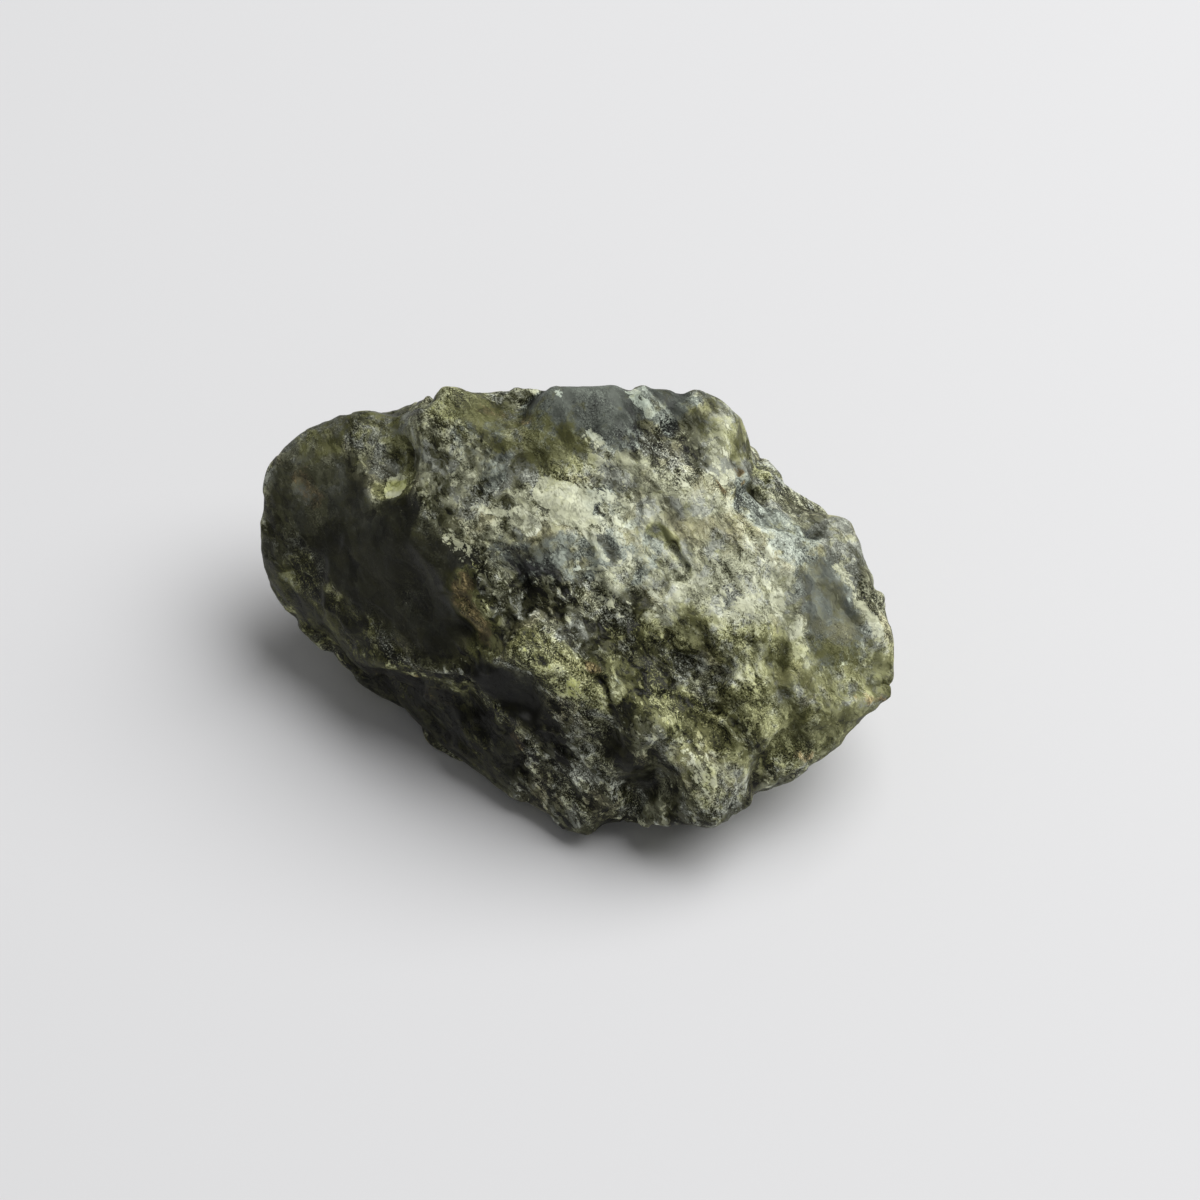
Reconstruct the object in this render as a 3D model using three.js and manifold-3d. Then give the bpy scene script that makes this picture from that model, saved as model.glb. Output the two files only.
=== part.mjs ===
// A rough sapphire: one broken, worn lump of corundum lying on its flattest break.
// Millimetres, +Z up. The origin is on the surface that the stone rests on, under the
// middle of the stone, and +X runs along its length.
import * as THREE from "three";
import { ConvexHull } from "three/addons/math/ConvexHull.js";
import { mergeVertices } from "three/addons/utils/BufferGeometryUtils.js";
import Module from "manifold-3d";

// Driving dimensions
const length = 35;
const width = 21.5;
const height = 17.5;
const edgeWear = 0.22; // softness of the worn edges between the big breaks
const turning = 1.4; // softness of the turn, from one break to the next, of the way lumps stand out
const chipSize = 3.4; // spacing of the small tilted breaks that cover the stone
const chipTilt = 0.2; // how steeply they lean
const chipStep = 0.16; // how far they stand above one another
const chipEdge = 18; // how sharply one gives way to the next
const calmLeft = 0.15; // what is left of them where a break stays smooth
const swells = { size: 6.5, rise: 0.3, salt: 8 }; // the low swells under them
const bends = [
  { size: 2.6, reach: 0.5, salts: [21, 22, 23] }, // how far outlines of lumps and hollows wander
  { size: 1.1, reach: 0.2, salts: [24, 25, 26] },
];
const skinInset = 0.1; // what the lumps add on average, taken off the hull
const heart = new THREE.Vector3(0, 0, 0.47 * height);
const core = new THREE.Vector3(0.6, 0.35, 0); // rays to the skin start on the heart stretched by this
const lip = 0.9; // width of the steep part of a ledge
const ledgeEnd = 0.4; // share of its length over which a ledge dies away at each end
const meshDetail = 21; // 20 * (meshDetail + 1)^2 triangles before the resting face is cut

// A place on the stone, given as shares of half its length, half its width and its height
const place = ([along, across, up]) =>
  new THREE.Vector3((along * length) / 2, (across * width) / 2, up * height);

// Where the big breaks meet. Their hull is the stone before lumps and hollows.
const corners = [
  // left lobe
  [-1.02, -0.17, 0.43],
  [-1.03, 0.03, 0.51],
  [-1.03, 0.17, 0.57],
  [-0.95, 0.25, 0.65],
  [-0.86, 0.32, 0.72],
  [-0.74, 0.4, 0.8],
  [-0.94, -0.29, 0.26],
  [-0.85, 0.58, 0.4],
  // far edge of the crown
  [-0.57, 0.38, 0.91],
  [-0.48, 0.4, 0.97],
  [-0.2, 0.47, 1.0],
  [0.0, 0.56, 0.99],
  [0.12, 0.7, 0.95],
  [0.26, 0.76, 0.91],
  [0.38, 0.75, 0.86],
  [0.43, 0.7, 0.8],
  // right end
  [0.71, 0.53, 0.68],
  [0.82, 0.42, 0.62],
  [0.92, 0.22, 0.51],
  [1.0, 0.0, 0.46],
  [1.0, -0.13, 0.4],
  [0.95, -0.24, 0.34],
  [0.88, -0.4, 0.28],
  [0.8, -0.54, 0.22],
  [0.67, -0.77, 0.19],
  // brow, where the crown turns down to the near side
  [-0.62, -0.01, 0.79],
  [-0.47, -0.17, 0.77],
  [-0.41, -0.39, 0.71],
  [-0.19, -0.61, 0.64],
  [-0.06, -0.66, 0.62],
  [0.16, -0.78, 0.51],
  [0.4, -0.87, 0.41],
  [0.47, -0.91, 0.33],
  // ledge under the brow
  [-0.66, -0.475, 0.32],
  [-0.52, -0.585, 0.385],
  [-0.29, -0.66, 0.45],
  // slope of the crown
  [0.31, 0.3, 0.86],
  [0.54, 0.1, 0.74],
  [0.42, -0.3, 0.69],
  [0.79, 0.08, 0.64],
  [0.72, -0.4, 0.53],
  [0.67, -0.62, 0.46],
  // nose and near foot
  [0.55, -0.97, 0.22],
  [0.36, -0.97, 0.25],
  [0.19, -1.0, 0.06],
  [0.06, -0.95, 0.09],
  [-0.25, -0.74, 0.12],
  [-0.53, -0.53, 0.15],
  // far side, low, and the base, a little under the flat it is cut to
  [-0.55, 0.8, 0.45],
  [0.0, 1.0, 0.4],
  [0.45, 0.95, 0.4],
  [0.8, 0.6, 0.3],
  [-0.5, 0.55, -0.025],
  [0.35, 0.65, -0.025],
  [0.7, 0.2, -0.025],
  [0.6, -0.4, -0.025],
  [0.2, -0.8, -0.025],
  [-0.3, -0.6, -0.025],
  [-0.7, -0.1, -0.025],
];

// Lumps (rise above zero) and hollows (below zero) that run from one place to another and
// fade out over `reach` millimetres
const relief = [
  // the groove between the left lobe and the crown
  { from: [-0.67, 0.42, 0.82], to: [-0.6, 0.1, 0.82], reach: 2.4, rise: -0.85 },
  { from: [-0.6, 0.1, 0.82], to: [-0.54, -0.13, 0.76], reach: 1.8, rise: -0.45 },
  // the left lobe, round on top and hollow in front
  { from: [-1.0, 0.06, 0.54], to: [-0.92, 0.24, 0.67], reach: 2.6, rise: 0.45 },
  { from: [-0.9, 0.24, 0.67], to: [-0.76, 0.34, 0.78], reach: 2.6, rise: 0.45 },
  { from: [-0.75, -0.15, 0.57], to: [-0.5, -0.45, 0.55], reach: 4.4, rise: -0.4 },
  // blue lumps along the far edge of the crown, with dips between them
  { from: [-0.35, 0.43, 0.98], to: [-0.29, 0.46, 0.98], reach: 2.3, rise: -1.35 },
  { from: [-0.52, 0.4, 0.94], to: [-0.48, 0.4, 0.96], reach: 2.2, rise: 0.3 },
  { from: [-0.14, 0.4, 0.97], to: [-0.02, 0.48, 0.97], reach: 2.2, rise: 0.45 },
  { from: [0.12, 0.63, 0.95], to: [0.16, 0.6, 0.94], reach: 1.7, rise: 0.6 },
  // the far right lobe and the saddle behind it
  { from: [0.3, 0.66, 0.88], to: [0.4, 0.62, 0.84], reach: 2.2, rise: 0.3 },
  { from: [0.48, 0.64, 0.78], to: [0.6, 0.59, 0.71], reach: 2.7, rise: -1.45 },
  { from: [0.38, 0.55, 0.84], to: [0.43, 0.4, 0.8], reach: 1.0, rise: -0.5 },
  // the right end: a rim, a smooth oval break and a granular swell under it
  { from: [0.73, 0.47, 0.67], to: [0.84, 0.34, 0.6], reach: 2.0, rise: 0.65 },
  { from: [0.61, 0.0, 0.7], to: [0.7, -0.3, 0.57], reach: 1.3, rise: -0.5 },
  { from: [0.77, 0.2, 0.64], to: [0.93, 0.08, 0.54], reach: 1.1, rise: 0.35 },
  { from: [0.8, -0.36, 0.46], to: [0.9, -0.24, 0.42], reach: 2.4, rise: 0.2 },
  { from: [0.88, -0.38, 0.28], to: [0.78, -0.57, 0.22], reach: 2.2, rise: 0.5 },
  // the slit in the middle of the crown
  { from: [0.25, 0.0, 0.79], to: [0.35, -0.12, 0.74], reach: 0.9, rise: -0.45 },
  // the scoop in the near slope and the ridge beside it
  { from: [0.36, -0.5, 0.6], to: [0.5, -0.56, 0.54], reach: 3.2, rise: -0.7 },
  { from: [-0.08, -0.64, 0.6], to: [0.2, -0.76, 0.5], reach: 1.5, rise: 0.45 },
  { from: [0.22, -0.7, 0.52], to: [0.4, -0.76, 0.46], reach: 1.4, rise: 0.35 },
  // pits under the brow
  { from: [-0.12, -0.5, 0.66], to: [0.16, -0.43, 0.67], reach: 1.9, rise: -0.55 },
  { from: [-0.24, -0.56, 0.6], to: [-0.19, -0.6, 0.58], reach: 1.1, rise: -0.5 },
  // the lip between the two dark breaks of the near side
  { from: [-0.6, -0.53, 0.32], to: [-0.39, -0.63, 0.41], reach: 0.9, rise: 0.4 },
  { from: [-0.39, -0.63, 0.41], to: [-0.13, -0.68, 0.51], reach: 0.9, rise: 0.4 },
  { from: [-0.5, -0.66, 0.24], to: [-0.2, -0.74, 0.33], reach: 2.2, rise: -0.6 },
  // the nose, split by a hollow
  { from: [0.42, -0.92, 0.33], to: [0.3, -0.98, 0.1], reach: 1.7, rise: -1.0 },
  { from: [0.55, -0.88, 0.34], to: [0.58, -0.9, 0.24], reach: 2.0, rise: 0.35 },
  { from: [0.16, -1.0, 0.08], to: [0.2, -0.94, 0.24], reach: 1.8, rise: 0.5 },
  // the far side
  { from: [-0.3, 0.75, 0.6], to: [0.05, 0.85, 0.6], reach: 3.4, rise: -0.9 },
  { from: [0.3, 0.9, 0.55], to: [0.4, 0.95, 0.3], reach: 2.4, rise: 0.5 },
  { from: [-0.7, 0.6, 0.4], to: [-0.55, 0.7, 0.2], reach: 2.8, rise: -0.7 },
  { from: [0.65, 0.65, 0.3], to: [0.85, 0.35, 0.25], reach: 2.4, rise: -0.6 },
];

// Ledges: the skin drops by `drop` on the side of `low` and comes back up over `reach`
const ledges = [
  // edge of the scoop in the near slope
  { from: [0.42, -0.34, 0.65], to: [0.6, -0.4, 0.59], low: [0.46, -0.5, 0.6], drop: 0.55, reach: 3.0 },
  { from: [0.58, -0.38, 0.6], to: [0.67, -0.64, 0.45], low: [0.5, -0.56, 0.54], drop: 0.35, reach: 2.6 },
  // small blue break in the middle, lower than the crust on its right
  { from: [0.07, -0.1, 0.79], to: [0.2, -0.28, 0.72], low: [0.0, -0.25, 0.74], drop: 0.5, reach: 3.6 },
  // sharp edge of the middle lump on the crown's far edge
  { from: [0.06, 0.62, 0.96], to: [0.18, 0.42, 0.91], low: [0.24, 0.58, 0.92], drop: 0.45, reach: 1.6 },
  // brow of the dark break on the left
  { from: [-0.44, -0.3, 0.73], to: [-0.14, -0.63, 0.6], low: [-0.5, -0.5, 0.55], drop: 0.45, reach: 3.0 },
  // a broken step across the far side
  { from: [-0.5, 0.7, 0.55], to: [0.3, 0.95, 0.5], low: [-0.1, 0.95, 0.3], drop: 0.7, reach: 4.5 },
];

// Breaks that stay smooth: the chips fade out around them
const smooth = [
  { at: [-0.62, -0.3, 0.58], reach: 5.5 },
  { at: [-0.85, 0.15, 0.65], reach: 4.0 },
  { at: [-0.98, -0.05, 0.45], reach: 4.0 },
  { at: [-0.1, 0.42, 0.96], reach: 2.6 },
  { at: [0.14, 0.6, 0.94], reach: 1.8 },
  { at: [-0.05, -0.22, 0.75], reach: 2.4 },
  { at: [0.76, 0.0, 0.6], reach: 3.0 },
];

const ramp = (value) => THREE.MathUtils.smoothstep(value, 0, 1);

// The flat breaks of the hull, each as its plane, with coplanar faces taken once
function breaks() {
  const hull = new ConvexHull().setFromPoints(corners.map(place));
  const planes = [];
  for (const face of hull.faces) {
    const known = planes.some(
      (plane) => plane.normal.dot(face.normal) > 0.9995 && Math.abs(plane.reach - face.constant) < 0.05,
    );
    if (!known) planes.push({ normal: face.normal, reach: face.constant });
  }
  return planes;
}

// How much each break counts at a point: most where the point is highest above it
function shares(point, planes, softness) {
  const heights = planes.map((plane) => plane.normal.dot(point) - plane.reach);
  const most = Math.max(...heights);
  return { most, weights: heights.map((one) => Math.exp((one - most) / softness)) };
}

// Height of a point above the worn hull: a soft maximum of its heights above every break
function aboveHull(point, planes) {
  const { most, weights } = shares(point, planes, edgeWear);
  const sum = weights.reduce((total, one) => total + one, 0);
  return most + edgeWear * (Math.log(sum) - 1) + skinInset;
}

// The way out of the stone at a point of the hull
function outward(point, planes) {
  const { weights } = shares(point, planes, turning);
  const out = new THREE.Vector3();
  planes.forEach((plane, i) => out.addScaledVector(plane.normal, weights[i]));
  return out.normalize();
}

const strokes = relief.map(({ from, to, reach, rise }) => ({
  line: new THREE.Line3(place(from), place(to)),
  reach,
  rise,
}));

const steps = ledges.map(({ from, to, low, drop, reach }) => {
  const start = place(from);
  const along = place(to).sub(start);
  const span = along.length();
  along.normalize();
  const down = place(low).sub(start);
  down.addScaledVector(along, -down.dot(along)).normalize();
  return { start, along, span, down, out: along.clone().cross(down), drop, reach };
});

const calm = smooth.map(({ at, reach }) => ({ centre: place(at), reach }));

const closest = new THREE.Vector3();

function strokeRise(point, { line, reach, rise }) {
  line.closestPointToPoint(point, true, closest);
  const share = closest.distanceTo(point) / reach;
  return share < 1 ? rise * (1 - share * share) ** 2 : 0;
}

function ledgeDrop(point, { start, along, span, down, out, drop, reach }) {
  const offset = point.clone().sub(start);
  const beside = offset.dot(down);
  const past = Math.abs(offset.dot(along) / span - 0.5) - 0.5; // above zero beyond the ends
  const ends = 1 - ramp(past / ledgeEnd + 0.5);
  const near = 1 - ramp(Math.abs(offset.dot(out)) / (2 * reach));
  return -drop * ramp(beside / lip) * (1 - ramp((beside - lip) / reach)) * ends * near;
}

// A fixed number between 0 and 1 for a cell of the grid
const scatter = (i, j, k, salt) => {
  const mixed = Math.sin(i * 127.1 + j * 311.7 + k * 74.7 + salt * 53.3) * 43758.5453;
  return mixed - Math.floor(mixed);
};

// Small tilted breaks: each cell has a plane of its own, and next cells blend over a narrow band
function chips(point) {
  const cell = point.clone().divideScalar(chipSize);
  const base = cell.clone().floor();
  let total = 0;
  let weights = 0;
  for (let i = base.x - 1; i <= base.x + 1; i += 1) {
    for (let j = base.y - 1; j <= base.y + 1; j += 1) {
      for (let k = base.z - 1; k <= base.z + 1; k += 1) {
        const draw = [1, 2, 3, 4, 5, 6, 7].map((salt) => scatter(i, j, k, salt));
        const offset = cell.clone().sub(new THREE.Vector3(i + draw[0], j + draw[1], k + draw[2]));
        const lean = new THREE.Vector3(draw[3] - 0.5, draw[4] - 0.5, draw[5] - 0.5);
        const height = 2 * chipTilt * chipSize * lean.dot(offset) + chipStep * (2 * draw[6] - 1);
        const weight = Math.exp(-chipEdge * offset.lengthSq());
        total += weight * height;
        weights += weight;
      }
    }
  }
  return total / weights;
}

// A swell from -1 to 1: random heights at the corners of a grid, with a smooth surface between
function swell(point, size, salt) {
  const cell = point.clone().divideScalar(size);
  const base = cell.clone().floor();
  const x = ramp(cell.x - base.x);
  const y = ramp(cell.y - base.y);
  const z = ramp(cell.z - base.z);
  let total = 0;
  for (let corner = 0; corner < 8; corner += 1) {
    const i = corner & 1;
    const j = (corner >> 1) & 1;
    const k = (corner >> 2) & 1;
    const share = (i ? x : 1 - x) * (j ? y : 1 - y) * (k ? z : 1 - z);
    total += share * (2 * scatter(base.x + i, base.y + j, base.z + k, salt) - 1);
  }
  return total;
}

// Where the lumps, hollows and chips of a point are looked up: a little beside it, so that none
// of them has a straight or a round outline
function bent(point) {
  const moved = point.clone();
  for (const { size, reach, salts } of bends) {
    const [x, y, z] = salts.map((salt) => reach * swell(point, size, salt));
    moved.add(new THREE.Vector3(x, y, z));
  }
  return moved;
}

// How far the skin stands out of the worn hull at a point
function risenBy(place) {
  const point = bent(place);
  const rough = calm.reduce(
    (left, { centre, reach }) => left * ramp(centre.distanceTo(point) / reach - 0.4),
    1,
  );
  const shaped = strokes.reduce((total, stroke) => total + strokeRise(point, stroke), 0);
  const stepped = steps.reduce((total, step) => total + ledgeDrop(point, step), 0);
  const low = swells.rise * swell(place, swells.size, swells.salt);
  return shaped + stepped + low + (calmLeft + (1 - calmLeft) * rough) * chips(point);
}

// The skin over the place where the ray towards a point of the outer oval leaves the hull
function skinPoint(outer, planes) {
  const start = outer.clone().multiply(core);
  const along = outer.clone().sub(start);
  start.add(heart);
  let near = 0;
  let far = 2;
  for (let step = 0; step < 24; step += 1) {
    const middle = (near + far) / 2;
    if (aboveHull(start.clone().addScaledVector(along, middle), planes) < 0) near = middle;
    else far = middle;
  }
  const point = start.addScaledVector(along, near);
  return point.clone().addScaledVector(outward(point, planes), risenBy(point));
}

function skinGeometry() {
  const planes = breaks();
  const ball = new THREE.IcosahedronGeometry(1, meshDetail);
  ball.deleteAttribute("normal");
  ball.deleteAttribute("uv");
  const geometry = mergeVertices(ball, 1e-5);
  const position = geometry.getAttribute("position");
  const halves = new THREE.Vector3(length, width, height).divideScalar(2);
  const outer = new THREE.Vector3();
  for (let i = 0; i < position.count; i += 1) {
    outer.fromBufferAttribute(position, i).multiply(halves);
    const point = skinPoint(outer, planes);
    position.setXYZ(i, point.x, point.y, point.z);
  }
  return geometry;
}

const wasm = await Module();
wasm.setup();

function solidOf(geometry) {
  const merged = geometry.clone();
  merged.deleteAttribute("normal");
  merged.deleteAttribute("uv");
  const closed = mergeVertices(merged, 1e-4);
  const vertProperties = new Float32Array(closed.getAttribute("position").array);
  const triVerts = new Uint32Array(closed.index.array);
  return new wasm.Manifold(new wasm.Mesh({ numProp: 3, vertProperties, triVerts }));
}

function geometryOf(solid) {
  const mesh = solid.getMesh();
  const geometry = new THREE.BufferGeometry();
  geometry.setAttribute("position", new THREE.BufferAttribute(mesh.vertProperties, 3));
  geometry.setIndex(new THREE.BufferAttribute(mesh.triVerts, 1));
  return geometry;
}

// The skin, with the break that it rests on cut flat, centred over the origin
function stoneGeometry() {
  const below = new THREE.BoxGeometry(2 * length, 2 * width, height).translate(0, 0, -height / 2);
  const geometry = geometryOf(solidOf(skinGeometry()).subtract(solidOf(below)));
  geometry.computeBoundingBox();
  const middle = geometry.boundingBox.getCenter(new THREE.Vector3());
  geometry.translate(-middle.x, -middle.y, 0);
  geometry.computeVertexNormals();
  return geometry;
}

const stone = new THREE.Mesh(
  stoneGeometry(),
  new THREE.MeshStandardMaterial({ color: 0x4a4f45, roughness: 0.6, metalness: 0 }),
);
stone.name = "rough_sapphire";

const part = new THREE.Group();
part.add(stone);
export default part;
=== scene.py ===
import itertools
import math
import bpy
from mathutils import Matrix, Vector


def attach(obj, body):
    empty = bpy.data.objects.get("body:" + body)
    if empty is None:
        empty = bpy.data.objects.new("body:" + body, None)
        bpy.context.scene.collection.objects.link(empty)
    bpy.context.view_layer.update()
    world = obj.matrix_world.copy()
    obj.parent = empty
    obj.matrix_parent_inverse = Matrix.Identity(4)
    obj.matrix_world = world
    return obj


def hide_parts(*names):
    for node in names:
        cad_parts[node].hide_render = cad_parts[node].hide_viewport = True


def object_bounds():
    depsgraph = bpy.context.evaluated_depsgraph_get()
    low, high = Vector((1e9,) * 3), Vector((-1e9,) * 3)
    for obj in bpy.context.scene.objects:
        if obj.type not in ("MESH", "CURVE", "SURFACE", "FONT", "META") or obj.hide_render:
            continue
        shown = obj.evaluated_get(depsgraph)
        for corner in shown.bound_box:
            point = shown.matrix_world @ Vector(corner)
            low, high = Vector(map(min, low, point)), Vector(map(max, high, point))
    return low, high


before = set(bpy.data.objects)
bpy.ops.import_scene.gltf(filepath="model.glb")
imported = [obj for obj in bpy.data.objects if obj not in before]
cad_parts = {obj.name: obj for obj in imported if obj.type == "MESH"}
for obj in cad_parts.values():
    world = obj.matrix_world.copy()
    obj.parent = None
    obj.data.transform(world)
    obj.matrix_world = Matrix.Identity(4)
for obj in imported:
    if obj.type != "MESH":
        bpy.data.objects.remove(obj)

from types import SimpleNamespace

import bmesh
import bpy
import numpy as np
from mathutils import Vector

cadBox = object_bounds()
metresPerMm = 0.001
print("frame loaded")


viewpoint = {
    "lookAt": (1.87, -1.5, 9.27),  # mm
    "azimuth": 17.0,  # degrees round from the front
    "elevation": 50.0,
    "distance": 263.0,  # mm
    "lens": 150.0,
    "sensor": 36.0,
    "clip": (0.01, 10.0),  # metres
}


def makeCamera():
    turn = math.radians(viewpoint["azimuth"])
    tilt = math.radians(viewpoint["elevation"])
    away = Vector((math.sin(turn) * math.cos(tilt), -math.cos(turn) * math.cos(tilt), math.sin(tilt)))
    lens = bpy.data.cameras.new("view")
    lens.lens = viewpoint["lens"]
    lens.sensor_width = viewpoint["sensor"]
    lens.clip_start, lens.clip_end = viewpoint["clip"]
    camera = bpy.data.objects.new("view", lens)
    camera.location = (Vector(viewpoint["lookAt"]) + away * viewpoint["distance"]) * metresPerMm
    camera.rotation_euler = (math.pi / 2 - tilt, 0, turn)
    bpy.context.scene.collection.objects.link(camera)
    bpy.context.scene.camera = camera


makeCamera()
print("camera placed")

# The stone's big form, in the same shares and millimetres as its solid. A place is given in shares
# of half the length, half the width and the height.
stoneForm = {
    "proportions": (35.0, 21.5, 17.5),
    "heartHeight": 0.47,
    "core": (0.60, 0.35, 0.00),  # rays to the skin start on the heart stretched by this
    "edgeWear": 0.22,
    "turning": 1.4,
    "skinInset": 0.1,
    "lip": 0.9,
    "chips": {"size": 3.4, "lean": 0.2, "step": 0.16, "edge": 18, "salt": 0},
    "calmLeft": 0.15,
    "calmFrom": 0.4,  # share of its reach over which a smooth break stays fully calm
    "ledgeEnd": 0.4,
    "sameBreak": (0.9995, 0.05),  # hull planes this alike in direction, this near in mm, are one
    "swells": {"size": 6.5, "rise": 0.3, "salt": 8},
    "bends": [
        {"size": 2.6, "reach": 0.5, "salts": (21, 22, 23)},
        {"size": 1.1, "reach": 0.2, "salts": (24, 25, 26)},
    ],
    "corners": [
        # left lobe
        (-1.02, -0.17, 0.43), (-1.03, 0.03, 0.51), (-1.03, 0.17, 0.57), (-0.95, 0.25, 0.65),
        (-0.86, 0.32, 0.72), (-0.74, 0.4, 0.8), (-0.94, -0.29, 0.26), (-0.85, 0.58, 0.4),
        # far edge of the crown
        (-0.57, 0.38, 0.91), (-0.48, 0.4, 0.97), (-0.2, 0.47, 1.0), (0.0, 0.56, 0.99),
        (0.12, 0.7, 0.95), (0.26, 0.76, 0.91), (0.38, 0.75, 0.86), (0.43, 0.7, 0.8),
        # right end
        (0.71, 0.53, 0.68), (0.82, 0.42, 0.62), (0.92, 0.22, 0.51), (1.0, 0.0, 0.46),
        (1.0, -0.13, 0.4), (0.95, -0.24, 0.34), (0.88, -0.4, 0.28), (0.8, -0.54, 0.22),
        (0.67, -0.77, 0.19),
        # brow, where the crown turns down to the near side
        (-0.62, -0.01, 0.79), (-0.47, -0.17, 0.77), (-0.41, -0.39, 0.71), (-0.19, -0.61, 0.64),
        (-0.06, -0.66, 0.62), (0.16, -0.78, 0.51), (0.4, -0.87, 0.41), (0.47, -0.91, 0.33),
        # ledge under the brow
        (-0.66, -0.475, 0.32), (-0.52, -0.585, 0.385), (-0.29, -0.66, 0.45),
        # slope of the crown
        (0.31, 0.3, 0.86), (0.54, 0.1, 0.74), (0.42, -0.3, 0.69), (0.79, 0.08, 0.64),
        (0.72, -0.4, 0.53), (0.67, -0.62, 0.46),
        # nose and near foot
        (0.55, -0.97, 0.22), (0.36, -0.97, 0.25), (0.19, -1.0, 0.06), (0.06, -0.95, 0.09),
        (-0.25, -0.74, 0.12), (-0.53, -0.53, 0.15),
        # far side, low, and the base, a little under the flat it is cut to
        (-0.55, 0.8, 0.45), (0.0, 1.0, 0.4), (0.45, 0.95, 0.4), (0.8, 0.6, 0.3),
        (-0.5, 0.55, -0.025), (0.35, 0.65, -0.025), (0.7, 0.2, -0.025), (0.6, -0.4, -0.025),
        (0.2, -0.8, -0.025), (-0.3, -0.6, -0.025), (-0.7, -0.1, -0.025),
    ],
    # from, to, reach, rise
    "relief": [
        # the groove between the left lobe and the crown
        ((-0.67, 0.42, 0.82), (-0.6, 0.1, 0.82), 2.4, -0.85),
        ((-0.6, 0.1, 0.82), (-0.54, -0.13, 0.76), 1.8, -0.45),
        # the left lobe, round on top and hollow in front
        ((-1.0, 0.06, 0.54), (-0.92, 0.24, 0.67), 2.6, 0.45),
        ((-0.9, 0.24, 0.67), (-0.76, 0.34, 0.78), 2.6, 0.45),
        ((-0.75, -0.15, 0.57), (-0.5, -0.45, 0.55), 4.4, -0.4),
        # blue lumps along the far edge of the crown, with dips between them
        ((-0.35, 0.43, 0.98), (-0.29, 0.46, 0.98), 2.3, -1.35),
        ((-0.52, 0.4, 0.94), (-0.48, 0.4, 0.96), 2.2, 0.3),
        ((-0.14, 0.4, 0.97), (-0.02, 0.48, 0.97), 2.2, 0.45),
        ((0.12, 0.63, 0.95), (0.16, 0.6, 0.94), 1.7, 0.6),
        # the far right lobe and the saddle behind it
        ((0.3, 0.66, 0.88), (0.4, 0.62, 0.84), 2.2, 0.3),
        ((0.48, 0.64, 0.78), (0.6, 0.59, 0.71), 2.7, -1.45),
        ((0.38, 0.55, 0.84), (0.43, 0.4, 0.8), 1.0, -0.5),
        # the right end: a rim, a smooth oval break and a granular swell under it
        ((0.73, 0.47, 0.67), (0.84, 0.34, 0.6), 2.0, 0.65),
        ((0.61, 0.0, 0.7), (0.7, -0.3, 0.57), 1.3, -0.5),
        ((0.77, 0.2, 0.64), (0.93, 0.08, 0.54), 1.1, 0.35),
        ((0.8, -0.36, 0.46), (0.9, -0.24, 0.42), 2.4, 0.2),
        ((0.88, -0.38, 0.28), (0.78, -0.57, 0.22), 2.2, 0.5),
        # the slit in the middle of the crown
        ((0.25, 0.0, 0.79), (0.35, -0.12, 0.74), 0.9, -0.45),
        # the scoop in the near slope and the ridge beside it
        ((0.36, -0.5, 0.6), (0.5, -0.56, 0.54), 3.2, -0.7),
        ((-0.08, -0.64, 0.6), (0.2, -0.76, 0.5), 1.5, 0.45),
        ((0.22, -0.7, 0.52), (0.4, -0.76, 0.46), 1.4, 0.35),
        # pits under the brow
        ((-0.12, -0.5, 0.66), (0.16, -0.43, 0.67), 1.9, -0.55),
        ((-0.24, -0.56, 0.6), (-0.19, -0.6, 0.58), 1.1, -0.5),
        # the lip between the two dark breaks of the near side
        ((-0.6, -0.53, 0.32), (-0.39, -0.63, 0.41), 0.9, 0.4),
        ((-0.39, -0.63, 0.41), (-0.13, -0.68, 0.51), 0.9, 0.4),
        ((-0.5, -0.66, 0.24), (-0.2, -0.74, 0.33), 2.2, -0.6),
        # the nose, split by a hollow
        ((0.42, -0.92, 0.33), (0.3, -0.98, 0.1), 1.7, -1.0),
        ((0.55, -0.88, 0.34), (0.58, -0.9, 0.24), 2.0, 0.35),
        ((0.16, -1.0, 0.08), (0.2, -0.94, 0.24), 1.8, 0.5),
        # the far side
        ((-0.3, 0.75, 0.6), (0.05, 0.85, 0.6), 3.4, -0.9),
        ((0.3, 0.9, 0.55), (0.4, 0.95, 0.3), 2.4, 0.5),
        ((-0.7, 0.6, 0.4), (-0.55, 0.7, 0.2), 2.8, -0.7),
        ((0.65, 0.65, 0.3), (0.85, 0.35, 0.25), 2.4, -0.6),
    ],
    # from, to, a place on the low side, drop, reach
    "ledges": [
        # edge of the scoop in the near slope
        ((0.42, -0.34, 0.65), (0.6, -0.4, 0.59), (0.46, -0.5, 0.6), 0.55, 3.0),
        ((0.58, -0.38, 0.6), (0.67, -0.64, 0.45), (0.5, -0.56, 0.54), 0.35, 2.6),
        # small blue break in the middle, lower than the crust on its right
        ((0.07, -0.1, 0.79), (0.2, -0.28, 0.72), (0.0, -0.25, 0.74), 0.5, 3.6),
        # sharp edge of the middle lump on the crown's far edge
        ((0.06, 0.62, 0.96), (0.18, 0.42, 0.91), (0.24, 0.58, 0.92), 0.45, 1.6),
        # brow of the dark break on the left
        ((-0.44, -0.3, 0.73), (-0.14, -0.63, 0.6), (-0.5, -0.5, 0.55), 0.45, 3.0),
        # a broken step across the far side
        ((-0.5, 0.7, 0.55), (0.3, 0.95, 0.5), (-0.1, 0.95, 0.3), 0.7, 4.5),
    ],
    # place, reach: breaks that stay smooth
    "smooth": [
        ((-0.62, -0.3, 0.58), 5.5),
        ((-0.85, 0.15, 0.65), 4.0),
        ((-0.98, -0.05, 0.45), 4.0),
        ((-0.1, 0.42, 0.96), 2.6),
        ((0.14, 0.6, 0.94), 1.8),
        ((-0.05, -0.22, 0.75), 2.4),
        ((0.76, 0.0, 0.6), 3.0),
    ],
}

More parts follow.
